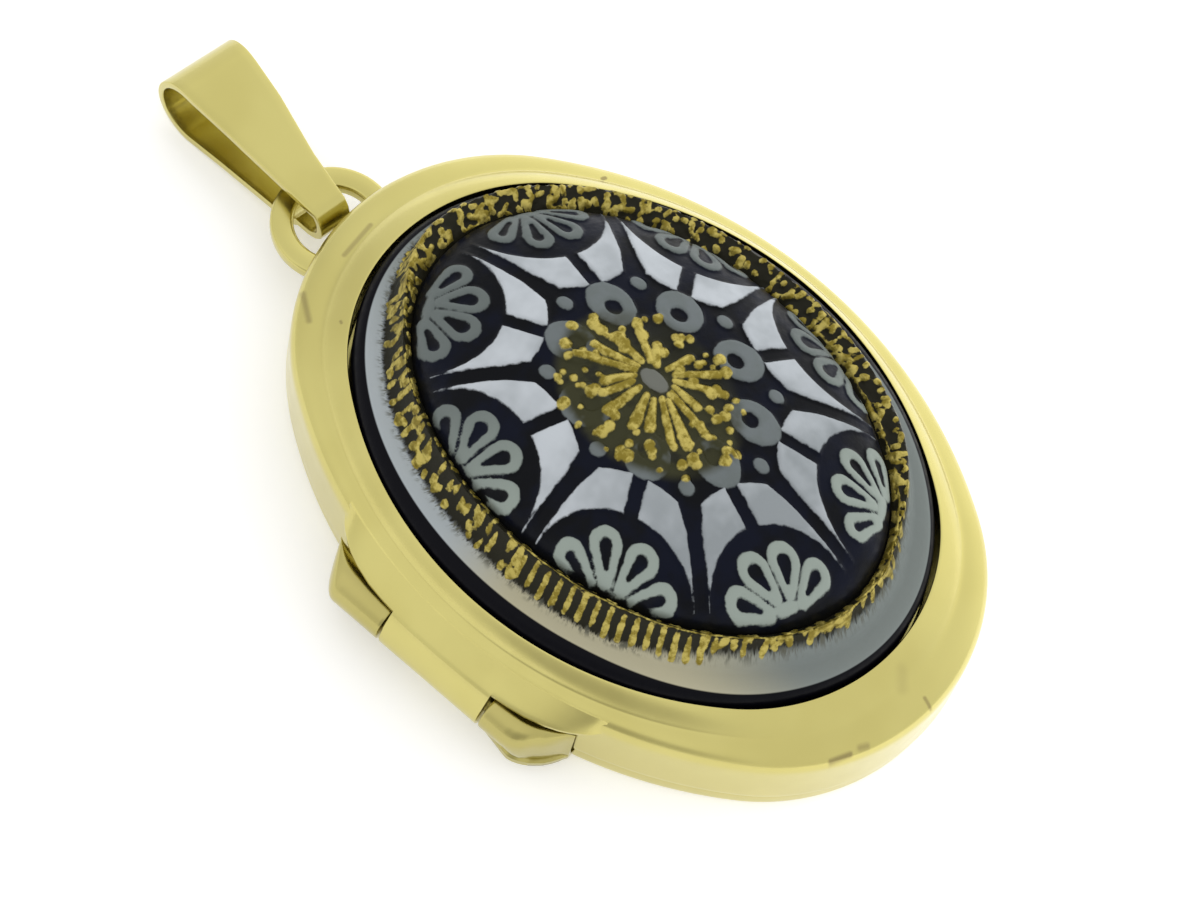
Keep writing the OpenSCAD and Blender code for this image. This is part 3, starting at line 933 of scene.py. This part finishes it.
half = hinge["midHalf"]
ends = [(-y, False, 0) for y in shelf["cuts"]]
ends += [(-half - 0.002, False, 0), (-half, True, 0.05)]
ends += [(-half + 0.015, True, 0.015), (-half + 0.05, True, 0)]
middleHalf, middleCount = shelf["middle"]
sections = ends + [(y, True, 0) for y in np.linspace(-middleHalf, middleHalf, middleCount)]
sections += [(-y, barrel, shrink) for y, barrel, shrink in reversed(ends)]
rows = [[(x, y, z) for x, z in shelfSection(y, barrel, shrink)] for y, barrel, shrink in sections]
hingeShelf = wrapGrid("hingeShelf", np.array(rows) * mm)
closeUp(hingeShelf)
fillRims(hingeShelf)
cutWith(hingeShelf, rod("bore", hinge["pinBore"], -3, 3, place=axis))
finishPiece(hingeShelf, "lid", polishedGold, angle=32)


# back cover: a shallow pan with a rounded edge and its snap rim

pan = {
    "inset": 0.1, "top": 1.1, "round": 0.6, "wall": 1.6, "floor": 0.5, "middle": 4.5, "smooth": 2,
    "snap": [  # inset from the case outline, and height
        (1.25, 0.45), (1.25, 1.6), (1.27, 1.67), (1.32, 1.7), (1.68, 1.7), (1.73, 1.67), (1.75, 1.6),
        (1.75, 0.45),
    ],
    "snapSteps": 192,
    "snapCuts": [  # where it makes room for the hinge and for the ring
        [(-14, -16), (-7, -16), (-7, 16), (-14, 16)],
        [(-3.1, 10), (3.1, 10), (3.1, 16), (-3.1, 16)],
    ],
}
edge, wall, top, floorZ = pan["inset"], pan["wall"], pan["top"], pan["floor"]
profile = [(pan["middle"], 0), (edge + pan["round"] + 0.15, 0)]
for k in range(7):
    t = math.radians(90 * k / 6)
    profile.append((edge + pan["round"] * (1 - math.sin(t)), pan["round"] * (1 - math.cos(t))))
profile += [(edge, 0.9), (edge, 1.06), (edge + 0.015, 1.09), (edge + 0.05, top), (edge + 0.4, top),
            (wall - 0.1, top), (wall, top - 0.06), (wall, floorZ + 0.1), (wall + 0.1, floorZ),
            (pan["middle"], floorZ)]
backPan = wrapGrid("backPan", [caseRing(inset, z) for inset, z in profile])
closeUp(backPan)
fillRims(backPan)
applyModifier(backPan, "SUBSURF", levels=pan["smooth"], render_levels=pan["smooth"])
finishPiece(backPan, "case", polishedGold, nodes=["back_cover"])

snapRows = [caseRing(inset, z, pan["snapSteps"]) for inset, z in pan["snap"]]
snapRim = wrapGrid("snapRim", snapRows + snapRows[:1])
closeUp(snapRim)
for corners in pan["snapCuts"]:
    cutWith(snapRim, prism("snapCut", corners, 0, 3))
finishPiece(snapRim, "case", polishedGold)


# outer knuckles: sections drawn out along the hinge, tapering back to the case

knuckle = {
    "upperPlan": [  # distance from the middle, reach of the barrel and of the foot
        (2.47, -11.65, -11.1), (4.4, -11.65, -11.1), (4.6, -11.65, -11.1), (4.72, -11.62, -11.08),
        (4.85, -11.55, -11.05), (4.97, -11.43, -10.98), (5.12, -11.25, -10.9), (5.28, -11.0, -10.75),
        (5.5, -10.6, -10.5), (5.7, -10.2, -10.17), (5.82, -9.95, -9.95),
    ],
    "lowerPlan": [
        (2.47, -11.65, -11.15), (3.0, -11.65, -11.25), (3.5, -11.65, -11.36), (3.85, -11.6, -11.42),
        (4.05, -11.52, -11.38), (4.26, -11.38, -11.3), (4.44, -11.18, -11.2), (4.62, -10.95, -11.08),
        (4.82, -10.75, -10.9), (5.01, -10.52, -10.71), (5.17, -10.28, -10.48), (5.31, -10.05, -10.23),
        (5.42, -9.93, -9.97), (5.48, -9.87, -9.87),
    ],
    "lowerSquare": (3.6, 4.6),  # where the barrel's lower side squares up to the foot
    "inner": -9.82, "bottom": 0.75, "footTop": 1.03, "footInner": -9.4,
    "turn": (-60, 307),  # start and sweep of the barrel, degrees
    "points": 30, "sections": 40,
    "boreEnds": (2, 3.8),
}


def knuckleSection(reach, foot, square, shrink=0.0):
    # the barrel's outline in XZ, with the foot that carries it
    share = (knuckle["inner"] - reach - shrink) / 2 / hinge["radius"]
    cx, rx = (knuckle["inner"] + reach + shrink) / 2, share * hinge["radius"]
    rz, cz = hinge["radius"] * (0.82 + 0.18 * share) - shrink, hinge["z"]
    low, top, inner = knuckle["bottom"] + shrink, knuckle["footTop"], knuckle["footInner"]
    under = rz + (cz - top - 0.02 - rz) * square
    power = 2 / (2 + 3 * square)
    start, sweep = knuckle["turn"]
    points = []
    for k in range(knuckle["points"]):
        t = math.radians(start + sweep * k / (knuckle["points"] - 1))
        c, s = math.cos(t), math.sin(t)
        if t > math.pi:
            points.append((cx - rx * abs(c) ** power, cz - under * abs(s) ** power))
        else:
            points.append((cx + rx * c, cz + rz * s))
    points += [(foot, top + 0.02), (foot, top - 0.05), (foot, low + 0.05), (foot + 0.05, low),
               (inner, low), (inner, top), (cx + rx * 0.5 + 0.1, top)]
    return points


def outerKnuckle(name, side, plan, squareUp=None):
    away, reaches, feet = (np.array(values) for values in zip(*plan))
    start, end = away[0], away[-1]
    sections = [(start, 0.05), (start + 0.015, 0.015)]
    sections += [(y, 0.0) for y in np.linspace(start + 0.05, end, knuckle["sections"])]
    rows = []
    for y, shrink in sections:
        square = float(softStep(y, *squareUp)) if squareUp else 0.0
        points = knuckleSection(np.interp(y, away, reaches), np.interp(y, away, feet), square, shrink)
        rows.append([(x, side * y, z) for x, z in points])
    piece = wrapGrid(name, np.array(rows) * mm)
    closeUp(piece)
    fillRims(piece)
    low, high = sorted(side * y for y in knuckle["boreEnds"])
    cutWith(piece, rod(name + "Bore", hinge["outerBore"], low, high, place=axis))
    # the outer knuckles take the darker gold: painted shade
    finishPiece(piece, "case", shadedGold, angle=38)


outerKnuckle("upperKnuckle", 1, knuckle["upperPlan"])
outerKnuckle("lowerKnuckle", -1, knuckle["lowerPlan"], knuckle["lowerSquare"])
print("covers and hinge ready")


# soldered ring with its foot

half, corner = ring["width"] / 2, ring["corner"]
flat = ring["thick"] / 2
section = []
for cx, cz, start in ((half - corner, flat - corner, 0), (-half + corner, flat - corner, 90),
                      (-half + corner, -flat + corner, 180), (half - corner, -flat + corner, 270)):
    section += arcPoints((cx, cz), corner, start, 90, ring["cornerParts"])
turn = np.arange(ring["steps"]) * 2 * math.pi / ring["steps"]
middle = ring["outer"] - half
rows = [np.column_stack([(middle + r) * np.cos(turn), ring["y"] + (middle + r) * np.sin(turn),
                         np.full(ring["steps"], ring["z"] + z)]) * mm for r, z in section + section[:1]]
bandRing = wrapGrid("bandRing", rows)
closeUp(bandRing)
finishPiece(bandRing, "case", polishedGold, angle=60)

foot = prism("ringFoot", ring["foot"], *ring["footZ"])
applyModifier(foot, "BEVEL", width=ring["footBevel"] * mm, segments=3)
finishPiece(foot, "case", innerGold)


# bail: a strip along the fold, given its thickness and rounded edges

bail = {
    "turn": 9.0, "rise": 1.3,  # degrees in plan and up from the ring
    "thick": 0.3,
    "eye": 0.85, "eyeTurn": (-150, 52, 8),  # inner radius round the ring; start, sweep and parts of its arc
    "rollRadius": 1.57, "rollY": 5.21, "rollTurn": (-98, 188, 32),
    "backParts": 14, "frontParts": 23,
    "creaseY": -1.68,
    "fall": [(-1.84, 0.8), (-1.97, 0.54), (-2.03, 0.25), (-1.98, -0.04), (-1.8, -0.28), (-1.5, -0.45)],
    "strip": [  # place along the bail, and its width to the left and right
        (-3.0, 0.78, 0.64), (-1.7, 0.78, 0.64), (0.5, 1.02, 0.88), (3.2, 1.3, 1.4), (5.0, 1.52, 1.6),
        (8.0, 1.7, 1.78),
    ],
    "across": 8,
    "bevel": 0.12, "bevelParts": 4,
}
front = bail["eye"] + bail["thick"]
rollZ = front - bail["rollRadius"]
mid = bail["thick"] / 2
path = arcPoints((0, 0), front - mid, *bail["eyeTurn"])
rollPoints = arcPoints((bail["rollY"], rollZ), bail["rollRadius"] - mid, *bail["rollTurn"])
eyeEnd, rollStart = path[-1], rollPoints[0]
path += [mixPair(eyeEnd, rollStart, k / bail["backParts"]) for k in range(1, bail["backParts"])]
path += rollPoints
last = rollPoints[-1]
for k in range(1, bail["frontParts"] + 1):
    path.append((last[0] + (bail["creaseY"] + 0.3 * mid - last[0]) * k / bail["frontParts"], last[1]))
path += bail["fall"]
strip = np.array(bail["strip"])
rows = []
for along, up in path + path[:1]:
    left = -np.interp(along, strip[:, 0], strip[:, 1])
    right = np.interp(along, strip[:, 0], strip[:, 2])
    across = np.linspace(left, right, bail["across"] + 1)
    rows.append(np.column_stack([across, np.full(len(across), along), np.full(len(across), up)]))
bailStrip = layGrid("bailStrip", np.array(rows) * mm)
closeUp(bailStrip)
applyModifier(bailStrip, "SOLIDIFY", thickness=bail["thick"] * mm, offset=0, use_even_offset=True)
applyModifier(bailStrip, "BEVEL", width=bail["bevel"] * mm, segments=bail["bevelParts"],
              limit_method="ANGLE", angle_limit=math.radians(50))
reach = ring["outer"] - ring["width"] / 2
angle = math.radians(bail["turn"])
place = Vector((reach * math.sin(angle), ring["y"] + reach * math.cos(angle), ring["z"])) * mm
place = Matrix.Translation(place) @ Matrix.Rotation(-angle, 4, "Z")
bailStrip.data.transform(place @ Matrix.Rotation(math.radians(bail["rise"]), 4, "X"))
finishPiece(bailStrip, "bail", polishedGold, angle=50, nodes=["bail"])
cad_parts["hinge_pin"].data.materials.clear()
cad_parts["hinge_pin"].data.materials.append(innerGold)
print("ring and bail ready")


# floor, light and camera

studio = {
    "base": 0.97,
    "panels": [  # direction, how near it starts and is full, and how much it adds
        ((1.0, 0.12, 0.05), 0.35, 0.98, 0.5),
        ((-0.58, 0.2, 0.8), 0.7, 1.0, 0.12),
        ((0.3, -0.75, 0.55), 0.72, 0.99, 0.04),
        ((0.35, 0.9, 0.25), 0.75, 0.99, -0.1),
        ((-0.9, -0.25, 0.38), 0.86, 0.99, -0.38),
    ],
    "floorSize": 3.0, "floorTone": 0.9,
    "floorGlow": (-0.02, 0.02, 0.25, 0.6),  # m across the floor, and the least and most glow
}
deselectAll()
bpy.ops.mesh.primitive_plane_add(size=studio["floorSize"], location=(0, 0, 0))
floor = named("studioFloor")
paper, tree, shader = newMaterial("studioPaper")
floorTone = (*[studio["floorTone"]] * 3, 1)
setInputs(shader, {"Base Color": floorTone, "Roughness": 0.9, "Emission Color": (1, 1, 1, 1)})
floorX, floorY = objectPlace(tree)[:2]
glow = rampNode(tree, takeOff(tree, floorX, product(tree, floorY, 0.6)), *studio["floorGlow"])
tree.links.new(glow, shader.inputs["Emission Strength"])
floor.data.materials.append(paper)

world = bpy.data.worlds.new("studioWorld")
bpy.context.scene.world = world
world.use_nodes = True
tree = world.node_tree
skyPlace = tree.nodes.new("ShaderNodeTexCoord").outputs["Generated"]
strength = studio["base"]
for direction, start, full, amount in studio["panels"]:
    towards = tree.nodes.new("ShaderNodeVectorMath")
    towards.operation = "DOT_PRODUCT"
    tree.links.new(skyPlace, towards.inputs[0])
    towards.inputs[1].default_value = Vector(direction).normalized()
    strength = addUp(tree, rampNode(tree, towards.outputs["Value"], start, full, 0.0, amount), strength)
tree.links.new(strength, tree.nodes["Background"].inputs["Strength"])
tree.nodes["Background"].inputs["Color"].default_value = (1, 1, 1, 1)

shot = {
    "azimuth": -65.204, "elevation": 62.892, "roll": 17.579, "lens": 120.0, "sensor": 36,
    "place": (-61.972, -27.071, 135.100),
}
azimuth, elevation = math.radians(shot["azimuth"]), math.radians(shot["elevation"])
level = math.cos(elevation)
backward = Vector((math.sin(azimuth) * level, -math.cos(azimuth) * level, math.sin(elevation)))
camera = bpy.data.objects.new("camera", bpy.data.cameras.new("camera"))
bpy.context.scene.collection.objects.link(camera)
camera.data.lens = shot["lens"]
camera.data.sensor_width = shot["sensor"]
camera.data.clip_start = 0.005
camera.data.clip_end = 10
camera.location = Vector(shot["place"]) * mm
camera.rotation_mode = "QUATERNION"
rolled = Quaternion(backward, math.radians(shot["roll"]))
camera.rotation_quaternion = rolled @ (-backward).to_track_quat("-Z", "Y")
bpy.context.scene.camera = camera
bpy.context.scene.view_settings.view_transform = "Standard"
print("studio ready")
